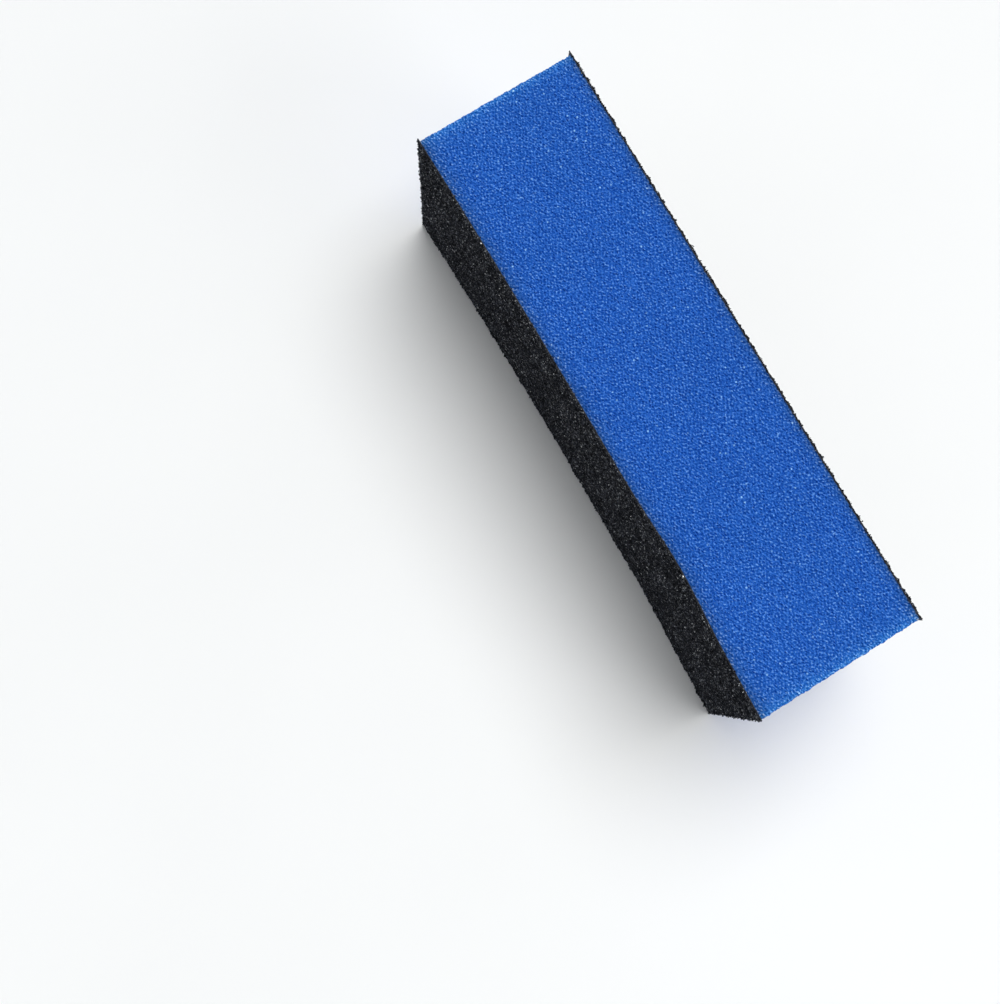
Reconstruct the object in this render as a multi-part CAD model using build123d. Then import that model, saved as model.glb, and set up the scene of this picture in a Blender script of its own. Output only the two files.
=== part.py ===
from build123d import *
import os

# A laminated foam sanding block, 95 x 26.5 x 35 mm, lying on one of its two bare foam faces.
# +X runs along the block, +Y across its plies, +Z up. The origin is the middle of the underside.
# The coated abrasive covers a whole side of the foam, so the grit faces -Y and +Y.

LENGTH = 95.0
HEIGHT = 35.0
FOAM_WIDTH = 25.7
FOAM_END_RADIUS = 0.4

# The plies glued to each side, from the foam outward, and how thick each one is.
PLY_THICKNESS = {
    "adhesive_film": 0.05,
    "backing_sheet": 0.10,
    "bond_coat": 0.05,
    "grit_layer": 0.20,
}
SIDE_DIRECTION = {"left": -1, "right": 1}

ON_THE_TABLE = (Align.CENTER, Align.CENTER, Align.MIN)


def foam_core():
    """The soft core. Its four cut edges at the two ends are slightly rounded."""
    core = Box(LENGTH, FOAM_WIDTH, HEIGHT, align=ON_THE_TABLE)
    cut_edges = core.edges().filter_by(Axis.Y)
    return fillet(cut_edges, FOAM_END_RADIUS)


def ply(inner_distance, thickness, direction):
    """One flat ply as long and as tall as the block, with its inner face at inner_distance."""
    centre_y = direction * (inner_distance + thickness / 2)
    return Pos(0, centre_y, 0) * Box(LENGTH, thickness, HEIGHT, align=ON_THE_TABLE)


def plies(side, direction):
    """The whole stack on one side of the core, by node name."""
    stack = {}
    distance = FOAM_WIDTH / 2
    for name, thickness in PLY_THICKNESS.items():
        stack[f"{side}_{name}"] = ply(distance, thickness, direction)
        distance += thickness
    return stack


nodes = {"foam_core": foam_core()}
for side, direction in SIDE_DIRECTION.items():
    nodes.update(plies(side, direction))

os.makedirs("parts", exist_ok=True)
for node, shape in nodes.items():
    export_step(shape, f"parts/{node}.step")
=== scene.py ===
"""Looks of a laminated foam sanding block: cut foam cells, coated abrasive sides and their cut edges."""

import math

import bpy
import numpy as np
from mathutils import Matrix, Quaternion, Vector


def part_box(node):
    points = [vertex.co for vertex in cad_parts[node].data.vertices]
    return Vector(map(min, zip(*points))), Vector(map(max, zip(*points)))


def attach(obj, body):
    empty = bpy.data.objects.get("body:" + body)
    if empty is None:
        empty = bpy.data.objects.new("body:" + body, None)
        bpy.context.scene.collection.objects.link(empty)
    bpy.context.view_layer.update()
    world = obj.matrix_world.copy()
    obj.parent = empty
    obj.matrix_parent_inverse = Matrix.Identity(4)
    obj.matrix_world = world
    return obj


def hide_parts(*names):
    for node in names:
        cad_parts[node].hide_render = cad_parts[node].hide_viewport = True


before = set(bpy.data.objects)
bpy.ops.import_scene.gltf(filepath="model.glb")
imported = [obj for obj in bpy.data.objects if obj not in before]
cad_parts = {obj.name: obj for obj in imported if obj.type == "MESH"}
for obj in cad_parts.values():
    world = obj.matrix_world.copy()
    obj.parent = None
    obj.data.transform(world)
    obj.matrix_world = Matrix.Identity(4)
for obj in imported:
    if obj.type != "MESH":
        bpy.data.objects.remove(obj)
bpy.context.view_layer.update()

MM = 0.001
rng = np.random.default_rng(20)

# Sizes from the frame, in metres.
FOAM_LOW, FOAM_HIGH = (np.array(corner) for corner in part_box("foam_core"))
LENGTH = FOAM_HIGH[0] - FOAM_LOW[0]
HEIGHT = FOAM_HIGH[2]
HALF_FOAM = FOAM_HIGH[1]
HALF_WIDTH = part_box("right_grit_layer")[1][1]

# The block is soft and was cut by a knife, so it isn't a perfect box.
END_SKEW = 0.031  # how far an end runs out of square, per length across the block
FAR_SKEW = 0.3 * MM  # how much more the far end does
LEAN_FAR, LEAN_NEAR = 2.0 * MM, 0.6 * MM  # how far an end's foot lies beyond its top, towards the far end
PLY_END = LENGTH / 2 - 0.25 * MM  # half the length of a ply, before the skew
FOAM_END = PLY_END  # the foam is cut together with its plies
FOAM_END_RADIUS = 0.4 * MM

# A ply's corners: the end it is at, as a sign of x, and its level, as a share of the height.
CORNERS = ((-1, 1), (1, 1), (-1, 0), (1, 0))
CORNER_TIPS = {
    "left": (0.4 * MM, 0.1 * MM, 0.2 * MM, 0.1 * MM),
    "right": (0.6 * MM, 0.2 * MM, 0.3 * MM, 0.2 * MM),
}
TIP_SPREAD = 0.35 * MM

# The left side is pressed in: an arch along the block, and a dent nearer to the near end.
ARCH_DEPTH, ARCH_LOSS = 1.0 * MM, 0.38 * MM  # at the foot, and how much less at the top
FOOT_DEPTH = 0.2 * MM  # how much further in the foot is, all along
DENT_PLACE, DENT_WIDTH = 0.76, 0.09  # shares of the length, from the far end
DENT_DEPTH, DENT_GAIN = 0.17 * MM, 0.38 * MM  # at the foot, and how much more at the top

# The cut foam: a net of cell walls with a pit in the middle of each cell.
CELL_NET = 0.30 * MM  # from one point of the net to the next
CELL_ALONG, CELL_ACROSS, CELL_LEAN = 1.10, 0.907, -0.35  # cells are drawn out slantwise along the block
CELL_SLANT = math.radians(25)
CELL_DEPTH = (0.12 * MM, 0.24 * MM)
WALL_DROP = 0.06 * MM
PIT_REACH, WALL_REACH = 0.50, 0.22  # how far the net's points stray, in steps
BROAD_RELIEF, BROAD_ALONG, BROAD_ACROSS = 0.03 * MM, 21 * MM, 9 * MM  # slow waves in the cut faces
END_WAVE, END_WAVE_LENGTH = 0.07 * MM, 3.1 * MM  # the ends are torn rather than cut
END_ROUGHNESS = 0.04 * MM
DULL_REACH = {"left": 0.95 * MM, "right": 0.65 * MM}  # how far the foam beside it is greyed
DULL_WAVE, DULL_WAVE_LENGTH = 0.3, 6 * MM  # how that varies along the block, as a share
RIM_WIDTH, RIM_GLOW_WIDTH, RIM_GLOW = 0.7 * MM, 10 * MM, 0.07  # painted light: the paler rim along the top of an end, and a faint glow further in

# The abrasive grains, each one a peak of the net.
GRIT_NET = 0.25 * MM
GRIT_DEPTH = HALF_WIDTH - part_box("right_grit_layer")[0][1]
FACE_GRAINS = 6000  # coarser grains standing out of the face of one side
EDGE_GRAINS = 1800  # grains dragged out over the cut edges of one side
GRAIN_SIZE = (0.05 * MM, 0.28 * MM)
EDGE_GRAIN_SCALE = 0.75
BURR = 0.9 * GRIT_DEPTH  # the grains' unevenness along the cut edges
BURR_LENGTH = 0.35 * MM
BURR_REACH = 0.35 * MM  # how far in from an edge it is felt
PEAK_REACH, VALLEY_REACH, BORDER_REACH = 0.62, 0.30, 0.4  # strays in steps, and the border's share of them

# Heights over the flat back, as shares of the grains' depth.
PEAK_HEIGHT, VALLEY_HEIGHT, LEAST_HEIGHT = (0.35, 0.75), (0.05, 0.30), 0.02
TALL_HEIGHT, TALL_SHARE = (0.9, 1.3), 0.22  # the tall ones among the peaks
FACE_LEVEL, EDGE_LEVEL = (0.35, 0.85), (-0.9, 0.65)  # where the loose grains' middles lie
SHARD_CORNERS = (0.35, 1.0)  # how far out a loose grain's corners are, as shares of its size
PAINTED_GLINT_LEAST, PAINTED_GLINT_SPREAD = 0.35, 2.4  # painted light: a grain's brightness against the usual one; valleys keep the least, as painted shade, and a few peaks and grains get far more, as painted glints

# The plies under the grains, from the foam outward, and how ragged each one's cut edges are.
PLY_NET = 0.6 * MM
RAGGED = {"adhesive_film": 0.10 * MM, "backing_sheet": 0.06 * MM, "bond_coat": 0.10 * MM}


def hollow(x, z):
    """How far the left side is pressed in, at x along the block and z up it."""
    along = x / LENGTH + 0.5
    up = z / HEIGHT
    arch = (ARCH_DEPTH - ARCH_LOSS * up) * 4 * along * (1 - along) + FOOT_DEPTH * (1 - up)
    dent = (DENT_DEPTH + DENT_GAIN * up) * np.exp(-(((along - DENT_PLACE) / DENT_WIDTH) ** 2))
    return arch + dent


def as_cut(points):
    """Points of the ideal block, moved to where the real, slightly bent and skewed one has them."""
    x, y, z = points.T
    leftness = np.clip(0.5 - y / (2 * HALF_FOAM), 0, 1)
    farness = np.clip(0.5 - x / LENGTH, 0, 1)
    lean = LEAN_NEAR + (LEAN_FAR - LEAN_NEAR) * farness
    y = y + leftness**2 * hollow(x, z)
    x = x - END_SKEW * y + FAR_SKEW * leftness * farness - lean * (1 - z / HEIGHT)
    return np.stack([x, y, z], axis=1)


def torn(side, x, z):
    """x of a ply's points, with its corners drawn out into small tips where the knife tore them."""
    for (end, level), tip in zip(CORNERS, CORNER_TIPS[side]):
        distance = np.hypot(x - end * PLY_END, z - level * HEIGHT)
        x = x + end * tip * np.exp(-distance / TIP_SPREAD)
    return x


def wave(position, amplitude, length):
    """A smooth random line: three sines of unlike lengths about the given one."""
    total = 0
    for share, ratio in ((0.5, 1.0), (0.3, 0.43), (0.2, 0.21)):
        phase = rng.uniform(0, 2 * math.pi)
        total = total + share * np.sin(2 * math.pi * position / (length * ratio) + phase)
    return amplitude * total


def add_piece(name, points, faces, material, node):
    """A mesh object that rides on the block and stands for the named CAD node."""
    mesh = bpy.data.meshes.new(name)
    mesh.from_pydata(points.tolist(), [], faces)
    mesh.validate()
    mesh.materials.append(material)
    piece = bpy.data.objects.new(name, mesh)
    bpy.context.collection.objects.link(piece)
    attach(piece, "root")
    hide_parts(node)
    return piece


def set_attribute(piece, name, values):
    """Gives each point of the piece a number that its material reads."""
    attribute = piece.data.attributes.new(name, "FLOAT", "POINT")
    attribute.data.foreach_set("value", values.astype(np.float32))


def net_links(lengths, closed):
    """The six points round each point of a net of rows, whose odd rows are shifted by half a step.

    They go round from the right, anticlockwise. A closed net's rows are rings. -1 means no point."""
    starts = np.concatenate([[0], np.cumsum(lengths)])
    links = np.full((starts[-1], 6), -1)
    for j, length in enumerate(lengths):
        i = np.arange(length)
        shift = j % 2
        around = [(j, i + 1), (j + 1, i + shift), (j + 1, i + shift - 1)]
        around += [(j, i - 1), (j - 1, i + shift - 1), (j - 1, i + shift)]
        for k, (row, column) in enumerate(around):
            if 0 <= row < len(lengths):
                column = column % lengths[row] if closed else column
                found = (column >= 0) & (column < lengths[row])
                links[starts[j] : starts[j + 1], k] = np.where(found, starts[row] + column, -1)
    return links


def net_triangles(links):
    """The net's triangles: one up to the right of each point and one straight above it."""
    here = np.arange(len(links))
    up_right = np.stack([here, links[:, 0], links[:, 1]], axis=1)
    above = np.stack([here, links[:, 1], links[:, 2]], axis=1)
    triangles = np.concatenate([up_right, above])
    return triangles[triangles.min(axis=1) >= 0].tolist()


def shuffle(links, is_centre, centre_reach, ring_reach):
    """How far each point strays along the net, in steps. A ring point follows the cell centres beside it."""
    stray = rng.uniform(-centre_reach, centre_reach, (len(links), 2)) * is_centre[:, None]
    beside = (links >= 0) & is_centre[links]
    follow = (stray[links] * beside[:, :, None]).sum(axis=1) / np.maximum(beside.sum(axis=1), 1)[:, None]
    own = rng.uniform(-ring_reach, ring_reach, (len(links), 2))
    return np.where(is_centre[:, None], stray, follow + own)


# ---------------------------------------------------------------- materials


def add_node(tree, kind, inputs=None, **settings):
    """Adds a shader node. An input is a socket to link or a value to set."""
    node = tree.nodes.new(kind)
    for name, value in settings.items():
        setattr(node, name, value)
    for socket, value in (inputs or {}).items():
        if isinstance(value, bpy.types.NodeSocket):
            tree.links.new(value, node.inputs[socket])
        else:
            node.inputs[socket].default_value = value
    return node


def new_material(name):
    """A new material, its node tree and its shader."""
    material = bpy.data.materials.new(name)
    material.use_nodes = True
    shader = material.node_tree.nodes["Principled BSDF"]
    return material, material.node_tree, shader


def compute(tree, operation, *values):
    """The result of a math node on numbers."""
    return add_node(tree, "ShaderNodeMath", dict(enumerate(values)), operation=operation).outputs["Value"]


def compute_vector(tree, operation, *values):
    """The result of a math node on vectors or colours."""
    node = add_node(tree, "ShaderNodeVectorMath", dict(enumerate(values)), operation=operation)
    return node.outputs["Vector"]


def place_in_mm(tree):
    """The place on the piece, in millimetres, for textures."""
    place = add_node(tree, "ShaderNodeTexCoord").outputs["Object"]
    return compute_vector(tree, "MULTIPLY", place, (1 / MM, 1 / MM, 1 / MM))


def noise(tree, place, size, detail=2.0, roughness=0.5):
    """Noise of about this size in millimetres."""
    node = add_node(
        tree,
        "ShaderNodeTexNoise",
        {"Vector": place, "Scale": 1 / size, "Detail": detail, "Roughness": roughness},
    )
    return node.outputs["Fac"]


def slope(tree, place, size, shift):
    """How steeply such noise rises along the shift: about 0, and less than 0 where it falls."""
    ahead, behind = (compute_vector(tree, way, place, shift) for way in ("ADD", "SUBTRACT"))
    return compute(tree, "SUBTRACT", noise(tree, ahead, size, 1.0), noise(tree, behind, size, 1.0))


def ramp(tree, value, stops):
    """A colour ramp. stops is [(position, colour), ...]."""
    node = add_node(tree, "ShaderNodeValToRGB", {"Fac": value})
    elements = node.color_ramp.elements
    while len(elements) < len(stops):
        elements.new(0.5)
    for element, (position, colour) in zip(elements, stops):
        element.position = position
        element.color = (*colour, 1.0)
    return node.outputs["Color"]


def remap(tree, value, low, high, to_low, to_high):
    """value, taken from the range low..high to the range to_low..to_high."""
    node = add_node(
        tree,
        "ShaderNodeMapRange",
        {"Value": value, "From Min": low, "From Max": high, "To Min": to_low, "To Max": to_high},
    )
    return node.outputs["Result"]


def mix_colour(tree, factor, a, b, blend="MIX"):
    """Colour a, taken towards b, or towards a times b, by the factor."""
    node = add_node(tree, "ShaderNodeMix", data_type="RGBA", blend_type=blend)
    for socket, value in ((node.inputs[0], factor), (node.inputs[6], a), (node.inputs[7], b)):
        if isinstance(value, bpy.types.NodeSocket):
            tree.links.new(value, socket)
        else:
            socket.default_value = value
    return node.outputs[2]


def attribute(tree, name):
    """The number that set_attribute gave each point."""
    return add_node(tree, "ShaderNodeAttribute", attribute_name=name).outputs["Fac"]


def bump(tree, shader, height, distance, strength):
    """Fine relief, too small for the mesh."""
    node = add_node(tree, "ShaderNodeBump", {"Height": height, "Distance": distance, "Strength": strength})
    tree.links.new(node.outputs["Normal"], shader.inputs["Normal"])


def foam_material():
    """Blue foam with painted shade in its pits and painted light and shade on its cell walls, greyer beside
    the glued sides.
    """
    material, tree, shader = new_material("blue_foam")
    place = place_in_mm(tree)
    drawn_out = add_node(
        tree,
        "ShaderNodeMapping",
        {"Vector": place, "Rotation": (0, 0, CELL_SLANT), "Scale": (1.25, 1.0, 1.0)},
        vector_type="TEXTURE",
    ).outputs["Vector"]
    wall = attribute(tree, "wall")

    # The mesh gives the cells. Painted shade: the wall number darkens the pits. Painted light and shade: the
    # slopes of noise, along the block and across it, make the finer strands of the cell walls paler on one
    # side and darker on the other, as if lit from one side.
    painted_strand_shading = slope(tree, drawn_out, 0.29, (0, 0.07, 0.02))
    painted_cross_shading = slope(tree, drawn_out, 0.27, (0.07, -0.02, 0.02))
    blend = compute(tree, "MULTIPLY_ADD", wall, 0.34, 0.37)
    for painted_relief_shading, weight in ((painted_strand_shading, 0.60), (painted_cross_shading, 0.38)):
        blend = compute(tree, "MULTIPLY_ADD", painted_relief_shading, weight, blend)
    colour = ramp(
        tree,
        blend,
        [
            (0.36, (0.0020, 0.056, 0.345)),
            (0.52, (0.0078, 0.091, 0.462)),
            (0.64, (0.033, 0.162, 0.615)),
            (0.76, (0.150, 0.345, 0.800)),
        ],
    )

    # Painted highlights: a few cell walls are coloured pale, as if they catch the light.
    cell = add_node(tree, "ShaderNodeTexVoronoi", {"Vector": place, "Scale": 1 / 0.42})
    kind = add_node(tree, "ShaderNodeSeparateColor", {"Color": cell.outputs["Color"]})
    painted_glint_cells = remap(tree, kind.outputs["Red"], 0.98, 0.995, 0.0, 1.0)
    near_middle = remap(tree, cell.outputs["Distance"], 0.2, 0.45, 1.0, 0.0)
    painted_glint_spot = compute(tree, "MULTIPLY", painted_glint_cells, near_middle)
    colour = mix_colour(tree, painted_glint_spot, colour, (0.27, 0.55, 0.96, 1.0))

    # Slow changes of tone, the greyer band beside the plies, and painted light: the pale rim along the top of
    # the ends.
    broad = noise(tree, place, 18.0, 1.0)
    tone = ramp(tree, broad, [(0.3, (0.98, 0.99, 0.97)), (0.7, (1.05, 1.04, 1.02))])
    colour = mix_colour(tree, 1.0, colour, tone, "MULTIPLY")
    # Greyer beside the plies, by the beside_ply number.
    dulled = mix_colour(tree, 1.0, colour, (1.30, 0.76, 0.58, 1.0), "MULTIPLY")
    colour = mix_colour(tree, attribute(tree, "beside_ply"), colour, dulled)
    # Painted light: the rounded top of each end is made paler, as if lit.
    painted_rim_light = mix_colour(tree, 1.0, colour, (3.10, 2.22, 1.38, 1.0), "MULTIPLY")
    colour = mix_colour(tree, attribute(tree, "painted_end_light"), colour, painted_rim_light)
    tree.links.new(colour, shader.inputs["Base Color"])
    tree.links.new(remap(tree, blend, 0.4, 0.75, 0.8, 0.5), shader.inputs["Roughness"])
    shader.inputs["Specular IOR Level"].default_value = 0.12
    bump(tree, shader, noise(tree, drawn_out, 0.22, 2.0, 0.6), 0.15 * MM, 0.8)
    return material


def grit_material():
    """Black silicon carbide grains under thin resin: dark, hard and glinting."""
    material, tree, shader = new_material("black_grit")
    place = place_in_mm(tree)
    grain = add_node(tree, "ShaderNodeTexVoronoi", {"Vector": place, "Scale": 1 / 0.17})
    kind = add_node(tree, "ShaderNodeSeparateColor", {"Color": grain.outputs["Color"]})
    colour = ramp(
        tree,
        kind.outputs["Red"],
        [
            (0.0, (0.012, 0.0135, 0.0185)),
            (0.45, (0.026, 0.029, 0.037)),
            (0.75, (0.064, 0.068, 0.080)),
            (0.90, (0.135, 0.141, 0.151)),
            (0.965, (0.27, 0.28, 0.29)),
            (1.0, (0.60, 0.62, 0.63)),
        ],
    )
    clumps = remap(tree, noise(tree, place, 0.9, 2.0, 0.6), 0.3, 0.7, 0.45, 1.55)
    patches = remap(tree, noise(tree, place, 5.0, 3.0), 0.3, 0.7, 0.8, 1.2)
    strength = compute(tree, "MULTIPLY", clumps, patches)
    # Painted shade and glints: the per-point brightness number darkens the valleys and brightens a few peaks
    # and grains.
    strength = compute(tree, "MULTIPLY", strength, attribute(tree, "painted_glint_shade"))
    colour = add_node(tree, "ShaderNodeVectorMath", {0: colour, "Scale": strength}, operation="SCALE")
    colour = compute_vector(tree, "MINIMUM", colour.outputs["Vector"], (0.7, 0.7, 0.7))
    tree.links.new(colour, shader.inputs["Base Color"])
    tree.links.new(remap(tree, kind.outputs["Red"], 0.90, 0.985, 0.0, 1.0), shader.inputs["Metallic"])
    tree.links.new(remap(tree, kind.outputs["Green"], 0.0, 1.0, 0.18, 0.5), shader.inputs["Roughness"])
    shader.inputs["Specular IOR Level"].default_value = 0.0
    shader.inputs["Specular Tint"].default_value = (0.35, 0.35, 0.38, 1.0)
    bump(tree, shader, noise(tree, place, 0.10, 2.0), 0.04 * MM, 0.9)
    return material


def resin_material():
    """Cured resin, near-black and half glossy, with a rippled surface."""
    material, tree, shader = new_material("black_resin")
    place = place_in_mm(tree)
    ripple = noise(tree, place, 0.35, 3.0)
    colour = ramp(tree, ripple, [(0.3, (0.0045, 0.005, 0.007)), (0.75, (0.017, 0.018, 0.022))])
    tree.links.new(colour, shader.inputs["Base Color"])
    tree.links.new(remap(tree, ripple, 0.3, 0.7, 0.3, 0.55), shader.inputs["Roughness"])
    shader.inputs["Specular IOR Level"].default_value = 0.15
    bump(tree, shader, ripple, 0.05 * MM, 0.8)
    return material


def backing_material():
    """Dark latex paper: matted fibres along and across the sheet."""
    material, tree, shader = new_material("black_paper")
    place = place_in_mm(tree)
    stretched = compute_vector(tree, "MULTIPLY", place, (0.25, 1.0, 1.0))
    fibres = noise(tree, stretched, 0.09, 4.0, 0.7)
    dark, usual, pale = (0.006, 0.0065, 0.008), (0.022, 0.023, 0.026), (0.16, 0.15, 0.10)
    colour = ramp(tree, fibres, [(0.3, dark), (0.55, usual), (0.72, pale)])
    tree.links.new(colour, shader.inputs["Base Color"])
    tree.links.new(remap(tree, fibres, 0.3, 0.7, 0.95, 0.7), shader.inputs["Roughness"])
    shader.inputs["Specular IOR Level"].default_value = 0.15
    bump(tree, shader, fibres, 0.03 * MM, 0.9)
    return material


def adhesive_material():
    """Dark rubbery glue that has soaked a little into the foam."""
    material, tree, shader = new_material("dark_adhesive")
    place = place_in_mm(tree)
    blobs = noise(tree, place, 0.5, 2.0)
    colour = ramp(tree, blobs, [(0.35, (0.010, 0.020, 0.048)), (0.7, (0.020, 0.048, 0.130))])
    tree.links.new(colour, shader.inputs["Base Color"])
    tree.links.new(remap(tree, blobs, 0.3, 0.7, 0.38, 0.62), shader.inputs["Roughness"])
    shader.inputs["Specular IOR Level"].default_value = 0.2
    bump(tree, shader, blobs, 0.06 * MM, 0.7)
    return material


# ---------------------------------------------------------------- foam


def foam_loop(distance):
    """Places and outward normals on the foam's outline seen from the side, at these distances round it.

    The outline is a rectangle with rounded corners. It starts half way up the near end and goes up."""
    r = FOAM_END_RADIUS
    middle = HEIGHT / 2
    straight_up, straight_along, bend = middle - r, 2 * (FOAM_END - r), math.pi * r / 2
    over, under = [straight_up, bend, straight_along, bend], [bend, straight_along, bend, straight_up]
    lengths = [*over, 2 * straight_up, *under]
    starts = np.concatenate([[0], np.cumsum(lengths)])
    place = np.zeros((len(distance), 2))
    normal = np.zeros((len(distance), 2))
    corner = np.array([FOAM_END, middle])
    direction = np.array([0.0, 1.0])
    start_point = corner.copy()
    for k, length in enumerate(lengths):
        inside = (distance >= starts[k]) & (distance <= starts[k + 1] + 1e-12)
        run = (distance[inside] - starts[k])[:, None]
        outward = np.array([direction[1], -direction[0]])
        if k % 2 == 0:
            place[inside] = start_point + run * direction
            normal[inside] = outward
            start_point = start_point + length * direction
        else:
            angle = run / r
            centre = start_point - r * outward
            turned = np.cos(angle) * outward + np.sin(angle) * direction
            place[inside] = centre + r * turned
            normal[inside] = turned
            start_point = centre + r * direction
            direction = -outward
    return place, normal


def foam_outline_length():
    """How long the outline of foam_loop is."""
    r = FOAM_END_RADIUS
    return 4 * (FOAM_END - r) + 2 * (HEIGHT - 2 * r) + 2 * math.pi * r


def foam_piece():
    """The core: a closed band of foam cells round its top, ends and underside, and two glued sides."""
    around = foam_outline_length()
    columns = 6 * round(around / (CELL_NET * CELL_ALONG) / 6)
    rows = 2 * round(2 * HALF_FOAM / (CELL_NET * CELL_ACROSS * math.sqrt(0.75)) / 2) + 1
    step = around / columns
    row, column = (grid.ravel() for grid in np.meshgrid(np.arange(rows), np.arange(columns), indexing="ij"))
    on_side = (row == 0) | (row == rows - 1)
    count = len(row)
    is_pit = (column - row // 2 - row) % 3 == 0
    links = net_links([columns] * rows, closed=True)
    stray = shuffle(links, is_pit, PIT_REACH, WALL_REACH) * ~on_side[:, None] * step

    across = (row / (rows - 1) * 2 - 1) * HALF_FOAM
    distance = (column + row % 2 / 2) * step + CELL_LEAN * across + stray[:, 0]
    across = np.clip(across + stray[:, 1], -HALF_FOAM, HALF_FOAM)
    place, normal = foam_loop(distance % around)

    pit = rng.uniform(*CELL_DEPTH, count)
    wall = rng.uniform(0, WALL_DROP, count)
    drop = np.where(is_pit, pit, wall)
    waves = wave(place[:, 0] + place[:, 1], 1.0, BROAD_ALONG) * wave(across, 1.0, BROAD_ACROSS)
    broad = BROAD_RELIEF * (1 + waves)
    ragged = wave(across, END_WAVE, END_WAVE_LENGTH) + rng.uniform(-END_ROUGHNESS, END_ROUGHNESS, count)
    drop = drop + np.abs(normal[:, 0]) * ragged
    place = place - (drop + broad)[:, None] * normal

    points = as_cut(np.stack([place[:, 0], across, place[:, 1]], axis=1))
    points[:, 2] = np.maximum(points[:, 2], 0)
    faces = net_triangles(links)
    last_row = count - columns
    for start, side_y in ((0, -HALF_FOAM), (last_row, HALF_FOAM)):
        first = round(-CELL_LEAN * side_y / step)  # the point half way up the near end
        for i in range(columns // 2):
            quad = [(first + k) % columns for k in (i, i + 1, -i - 1, -i)]
            quad = list(dict.fromkeys(start + k for k in quad))
            faces.append(quad if start == last_row else quad[::-1])
    faces = [face[::-1] for face in faces]

    piece = add_piece("foam_body", points, faces, FOAM, "foam_core")
    # Painted shade: the wall number is lower where a point is sunk below those round it, and it darkens the
    # pits in the foam's colour.
    level = 1 - np.clip(drop / CELL_DEPTH[1], 0, 1)
    present = links >= 0
    around_it = (level[links] * present).sum(axis=1) / present.sum(axis=1)
    set_attribute(piece, "wall", 0.5 + 0.5 * (level - around_it))
    gap = HALF_FOAM - np.abs(across)
    reach = np.where(across < 0, DULL_REACH["left"], DULL_REACH["right"])
    reach = reach * (1 + wave(place[:, 0], DULL_WAVE, DULL_WAVE_LENGTH))
    set_attribute(piece, "beside_ply", np.exp(-gap / reach))
    # Painted light: a pale rim along the top of each end, strongest at the edge and fading over some
    # millimetres.
    from_end = FOAM_END - np.abs(place[:, 0])
    on_top = np.clip(normal[:, 1], 0, 1)
    rim = np.exp(-from_end / RIM_WIDTH) + RIM_GLOW * np.exp(-from_end / RIM_GLOW_WIDTH)
    set_attribute(piece, "painted_end_light", rim * on_top)


# ---------------------------------------------------------------- plies


def shards(places, sizes):
    """Separate grains: closed eight-sided shards of uneven shape, turned every way."""
    corners = np.array([(1, 0, 0), (0, 1, 0), (-1, 0, 0), (0, -1, 0), (0, 0, 1), (0, 0, -1)])
    upper = [(k, (k + 1) % 4, 4) for k in range(4)]
    lower = [((k + 1) % 4, k, 5) for k in range(4)]
    triangles = np.array(upper + lower)
    count = len(places)
    turns = np.array([Quaternion(turn).normalized().to_matrix() for turn in rng.normal(size=(count, 4))])
    uneven = corners * rng.uniform(*SHARD_CORNERS, (count, 6, 1)) * sizes[:, None, None]
    points = places[:, None] + uneven @ turns
    faces = triangles + 6 * np.arange(count)[:, None, None]
    return points.reshape(-1, 3), faces.reshape(-1, 3).tolist()


def random_painted_glint(count):
    """Painted light for so many grains: most are left dull and a few are painted bright, as glints."""
    return PAINTED_GLINT_LEAST + PAINTED_GLINT_SPREAD * rng.random(count) ** 3


def loose_grains(direction, inner, burr):
    """The shards of one side: the coarser grains of its face, and those dragged over its cut edges.

    Returns their points, their faces and each point's painted glint brightness."""
    count = FACE_GRAINS + EDGE_GRAINS
    x = rng.uniform(-PLY_END, PLY_END, count)
    z = rng.uniform(0, HEIGHT, count)
    level = rng.uniform(*FACE_LEVEL, count)
    tall_share = HEIGHT / (HEIGHT + 2 * PLY_END)
    at_edge = np.arange(count) >= FACE_GRAINS
    at_end = at_edge & (rng.random(count) < tall_share)
    x = np.where(at_end, np.sign(x) * PLY_END, x)
    z = np.where(at_edge & ~at_end, np.where(z > HEIGHT / 2, HEIGHT, 0), z)
    level = np.where(at_edge, rng.uniform(*EDGE_LEVEL, count) + burr(x + z) / GRIT_DEPTH, level)
    sizes = GRAIN_SIZE[0] + (GRAIN_SIZE[1] - GRAIN_SIZE[0]) * rng.random(count) ** 2
    sizes = sizes * np.where(at_edge, EDGE_GRAIN_SCALE, 1.0)
    places = np.stack([x, direction * (inner + level * GRIT_DEPTH), z], axis=1)
    points, faces = shards(places, sizes)
    points[:, 2] = np.maximum(points[:, 2], 0)
    painted_glint_shade = np.repeat(random_painted_glint(count), 6)
    return as_cut(points), faces, painted_glint_shade


def border_ring(lengths, starts):
    """The net's border points in order: along the foot, up the near end, back along the top and down."""
    rows = len(lengths)
    foot = list(range(lengths[0]))
    near_end = [starts[j] + lengths[j] - 1 for j in range(1, rows - 1)]
    top = [starts[-1] + i for i in range(lengths[-1] - 1, -1, -1)]
    far_end = [starts[j] for j in range(rows - 2, 0, -1)]
    return foot + near_end + top + far_end


def flat_back(wide, tall, first):
    """Faces of the flat back: upright strips from its foot to its top.

    Its points are numbered from first and go round as in border_ring, wide of them along the foot and the
    top, and tall more up each end. A known fault: where corner tips are drawn out, an end strip crosses
    its own outline, and that leaves stray triangles in the plane of the back."""
    foot = [first + i for i in range(wide)]
    near_column = [first + wide + i for i in range(tall)]
    top = [first + wide + tall + i for i in range(wide)][::-1]
    far_column = [first + 2 * wide + tall + i for i in range(tall)][::-1]
    faces = []
    for i in range(wide - 1):
        face = [foot[i], *(far_column if i == 0 else []), top[i]]
        face += [top[i + 1], *(near_column[::-1] if i == wide - 2 else []), foot[i + 1]]
        faces.append(face)
    return faces


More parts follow.
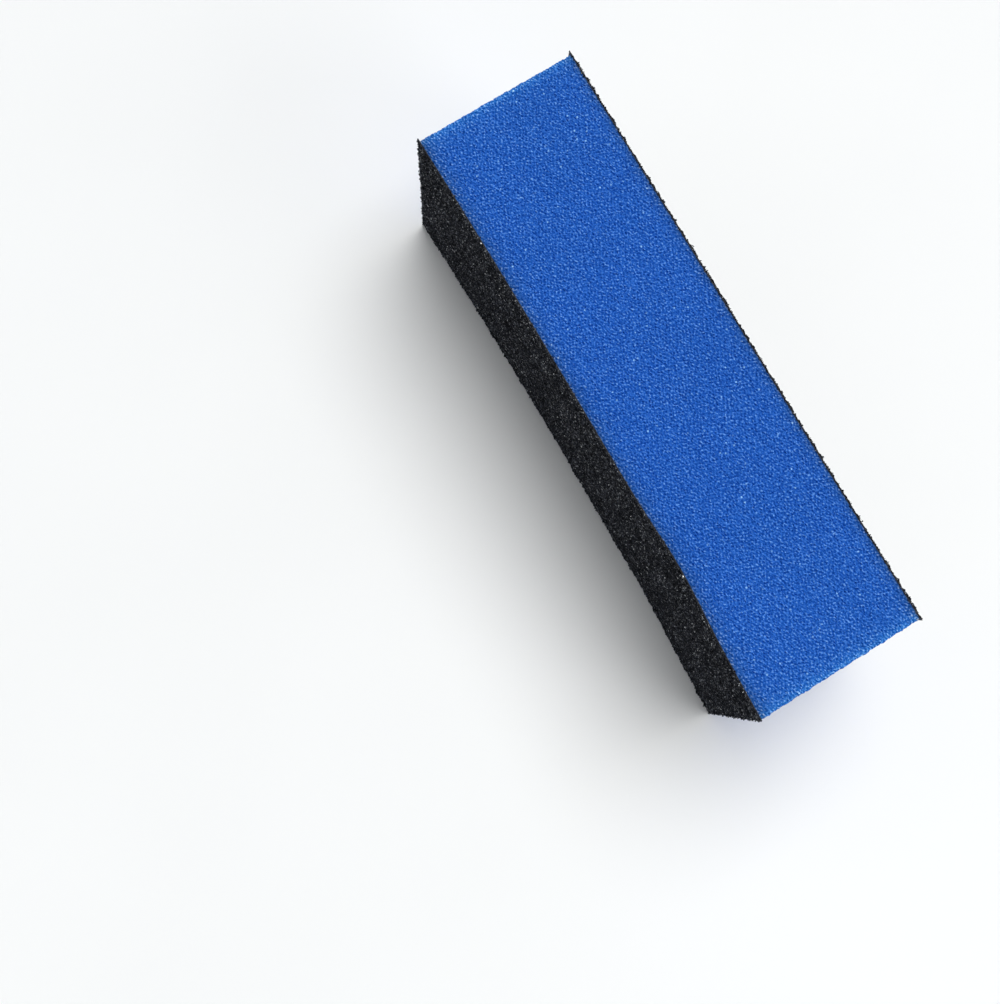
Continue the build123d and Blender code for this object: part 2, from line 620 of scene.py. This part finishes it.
def grit_piece(side, direction):
    """One side's grains: a net of angular peaks over a flat back, cut off raggedly at its edges."""
    inner = HALF_WIDTH - GRIT_DEPTH
    columns = round(2 * PLY_END / GRIT_NET)
    rows = 2 * round(HEIGHT / (GRIT_NET * math.sqrt(0.75)) / 2) + 1
    step_x, step_z = 2 * PLY_END / columns, HEIGHT / (rows - 1)

    lengths = [columns + 1 - j % 2 for j in range(rows)]
    starts = np.concatenate([[0], np.cumsum(lengths)[:-1]]).tolist()
    row = np.repeat(np.arange(rows), lengths)
    column = np.concatenate([np.arange(length) for length in lengths])
    count = len(row)
    links = net_links(lengths, closed=False)
    is_peak = (column - row // 2 - row) % 3 == 0
    on_border = (links < 0).any(axis=1)
    stray = shuffle(links, is_peak, PEAK_REACH, VALLEY_REACH)
    stray = stray * np.where(on_border, BORDER_REACH, 1.0)[:, None]

    x = -PLY_END + (column + row % 2 / 2 + stray[:, 0]) * step_x
    z = np.clip((row + stray[:, 1]) * step_z, 0, HEIGHT)
    peak = rng.uniform(*PEAK_HEIGHT, count)
    peak = np.where(rng.random(count) < TALL_SHARE, rng.uniform(*TALL_HEIGHT, count), peak)
    valley = rng.uniform(*VALLEY_HEIGHT, count)
    height = np.where(is_peak, peak, valley) * GRIT_DEPTH

    burr_places = np.arange(-PLY_END, PLY_END + HEIGHT + BURR_LENGTH, BURR_LENGTH)
    burr_heights = rng.uniform(-BURR, BURR, len(burr_places))

    def burr(place):
        return np.interp(place, burr_places, burr_heights)

    to_edge = np.minimum(np.minimum(z, HEIGHT - z), PLY_END - np.abs(x))
    height = height + np.exp(-to_edge / BURR_REACH) * burr(x + z)
    height = np.maximum(height, LEAST_HEIGHT * GRIT_DEPTH)
    outer = np.stack([torn(side, x, z), direction * (inner + height), z], axis=1)

    # The flat back has one point behind each point of the net's border.
    ring = border_ring(lengths, starts)
    back = outer[ring].copy()
    back[:, 1] = direction * inner
    points = as_cut(np.concatenate([outer, back]))

    faces = net_triangles(links)
    for k, (here, after) in enumerate(zip(ring, ring[1:] + ring[:1])):
        faces.append((after, here, count + k, count + (k + 1) % len(ring)))
    faces += flat_back(lengths[0], rows - 2, count)
    if direction > 0:
        faces = [face[::-1] for face in faces]

    # Painted shade in the valleys, which keep the least brightness, and painted glints on a few peaks.
    painted_glint_shade = np.where(is_peak, random_painted_glint(count), PAINTED_GLINT_LEAST)
    grain_points, grain_faces, grain_painted_glint_shade = loose_grains(direction, inner, burr)
    faces += [[len(points) + k for k in face] for face in grain_faces]
    points = np.concatenate([points, grain_points])
    piece = add_piece(f"{side}_grit", points, faces, GRIT, f"{side}_grit_layer")
    set_attribute(piece, "painted_glint_shade", np.concatenate([painted_glint_shade, np.full(len(ring), PAINTED_GLINT_LEAST), grain_painted_glint_shade]))


def ply_piece(side, direction, ply, material):
    """A thin flat ply between the foam and the grains, with ragged cut edges."""
    name = f"{side}_{ply}"
    low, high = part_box(name)
    faces_y = sorted((abs(low[1]), abs(high[1])))
    columns, rows = round(2 * PLY_END / PLY_NET), round(HEIGHT / PLY_NET)
    i, j = np.meshgrid(np.arange(columns + 1), np.arange(rows + 1), indexing="ij")
    i, j = i.ravel(), j.ravel()
    count = len(i)
    x = (i / columns * 2 - 1) * PLY_END
    z = j / rows * HEIGHT
    x = x - np.sign(x) * ((i == 0) | (i == columns)) * rng.uniform(0, RAGGED[ply], count)
    z = z + np.where(j == 0, 1, -1) * ((j == 0) | (j == rows)) * rng.uniform(0, RAGGED[ply], count)
    x = torn(side, x, z)
    sheets = [as_cut(np.stack([x, np.full(count, direction * y), z], axis=1)) for y in faces_y]

    def index(a, b, sheet):
        return sheet * count + a * (rows + 1) + b

    faces = []
    for a in range(columns):
        for b in range(rows):
            corners = [(a, b), (a + 1, b), (a + 1, b + 1), (a, b + 1)]
            faces.append([index(*corner, 1) for corner in corners])
            faces.append([index(*corner, 0) for corner in corners][::-1])
    rim = [(a, 0) for a in range(columns)] + [(columns, b) for b in range(rows)]
    rim += [(a, rows) for a in range(columns, 0, -1)] + [(0, b) for b in range(rows, 0, -1)]
    for here, after in zip(rim, rim[1:] + rim[:1]):
        faces.append([index(*after, 1), index(*here, 1), index(*here, 0), index(*after, 0)])
    if direction > 0:
        faces = [face[::-1] for face in faces]
    return add_piece(f"{name}_cut", np.concatenate(sheets), faces, material, name)


# ---------------------------------------------------------------- stage


def floor():
    """A plain pale table top under the block."""
    material, tree, shader = new_material("pale_floor")
    place = place_in_mm(tree)
    darker, paler = (0.885, 0.895, 0.89), (0.905, 0.915, 0.91)
    colour = ramp(tree, noise(tree, place, 60.0), [(0.3, darker), (0.7, paler)])
    tree.links.new(colour, shader.inputs["Base Color"])
    shader.inputs["Roughness"].default_value = 0.7
    half = 3.0  # of the table's width
    corners = [(-half, -half, 0), (half, -half, 0), (half, half, 0), (-half, half, 0)]
    mesh = bpy.data.meshes.new("floor")
    mesh.from_pydata(corners, [], [(0, 1, 2, 3)])
    mesh.materials.append(material)
    table = bpy.data.objects.new("floor", mesh)
    bpy.context.collection.objects.link(table)


def area_light(name, place, aim, size, power):
    """A round white lamp at the place, facing the aim."""
    light = bpy.data.lights.new(name, "AREA")
    light.shape, light.size, light.energy = "DISK", size, power
    lamp = bpy.data.objects.new(name, light)
    lamp.location = place
    lamp.rotation_euler = (Vector(aim) - Vector(place)).to_track_quat("-Z", "Y").to_euler()
    bpy.context.collection.objects.link(lamp)


def sun(name, place, width, strength):
    """Light from far away over the given place, as wide as a lamp that takes up that angle."""
    light = bpy.data.lights.new(name, "SUN")
    light.angle, light.energy = width, strength
    lamp = bpy.data.objects.new(name, light)
    lamp.rotation_euler = Vector(place).to_track_quat("Z", "Y").to_euler()
    bpy.context.collection.objects.link(lamp)


def lights():
    """A large soft light overhead, a weaker one at the near end, and surroundings that are paler low down."""
    sun("overhead", (-0.10, 0.22, 0.70), width=math.radians(54), strength=2.80)
    area_light("near_fill", (0.55, 0.30, 0.35), aim=(0, 0, HEIGHT / 2), size=0.40, power=0.7)
    world = bpy.data.worlds.new("surroundings")
    world.use_nodes = True
    tree = world.node_tree
    direction = add_node(tree, "ShaderNodeTexCoord").outputs["Generated"]
    upward = add_node(tree, "ShaderNodeSeparateXYZ", {"Vector": direction}).outputs["Z"]
    sky = ramp(tree, upward, [(0.08, (0.82, 0.84, 0.86)), (0.50, (0.10, 0.105, 0.115))])
    tree.links.new(sky, tree.nodes["Background"].inputs["Color"])
    bpy.context.scene.world = world


def camera():
    """A hand-held close view from above, a little to the left and towards the near end."""
    place = Vector((26.2, -44.4, 194.1)) * MM
    aim = Vector((4.92, -28.71, 35.0)) * MM
    roll = math.radians(29.84)  # from the block's far end being straight up in the picture
    back = (place - aim).normalized()
    to_far_end = Vector((-1, 0, 0))
    far_end_up = (to_far_end - back * back.dot(to_far_end)).normalized()
    sideways = (-back).cross(far_end_up)
    up = math.cos(roll) * far_end_up + math.sin(roll) * sideways
    right = up.cross(back)
    lens = bpy.data.cameras.new("camera")
    lens.lens = 42.4  # millimetres
    lens.clip_start = 0.01
    view = bpy.data.objects.new("camera", lens)
    view.matrix_world = Matrix.Translation(place) @ Matrix((right, up, back)).transposed().to_4x4()
    bpy.context.collection.objects.link(view)
    bpy.context.scene.camera = view


FOAM, GRIT = foam_material(), grit_material()
RESIN, BACKING, ADHESIVE = resin_material(), backing_material(), adhesive_material()

foam_piece()
for side, direction in (("left", -1), ("right", 1)):
    ply_piece(side, direction, "adhesive_film", ADHESIVE)
    backing = ply_piece(side, direction, "backing_sheet", BACKING)
    ply_piece(side, direction, "bond_coat", RESIN)
    grit_piece(side, direction)

floor()
lights()
camera()
bpy.context.scene.view_settings.view_transform = "Standard"
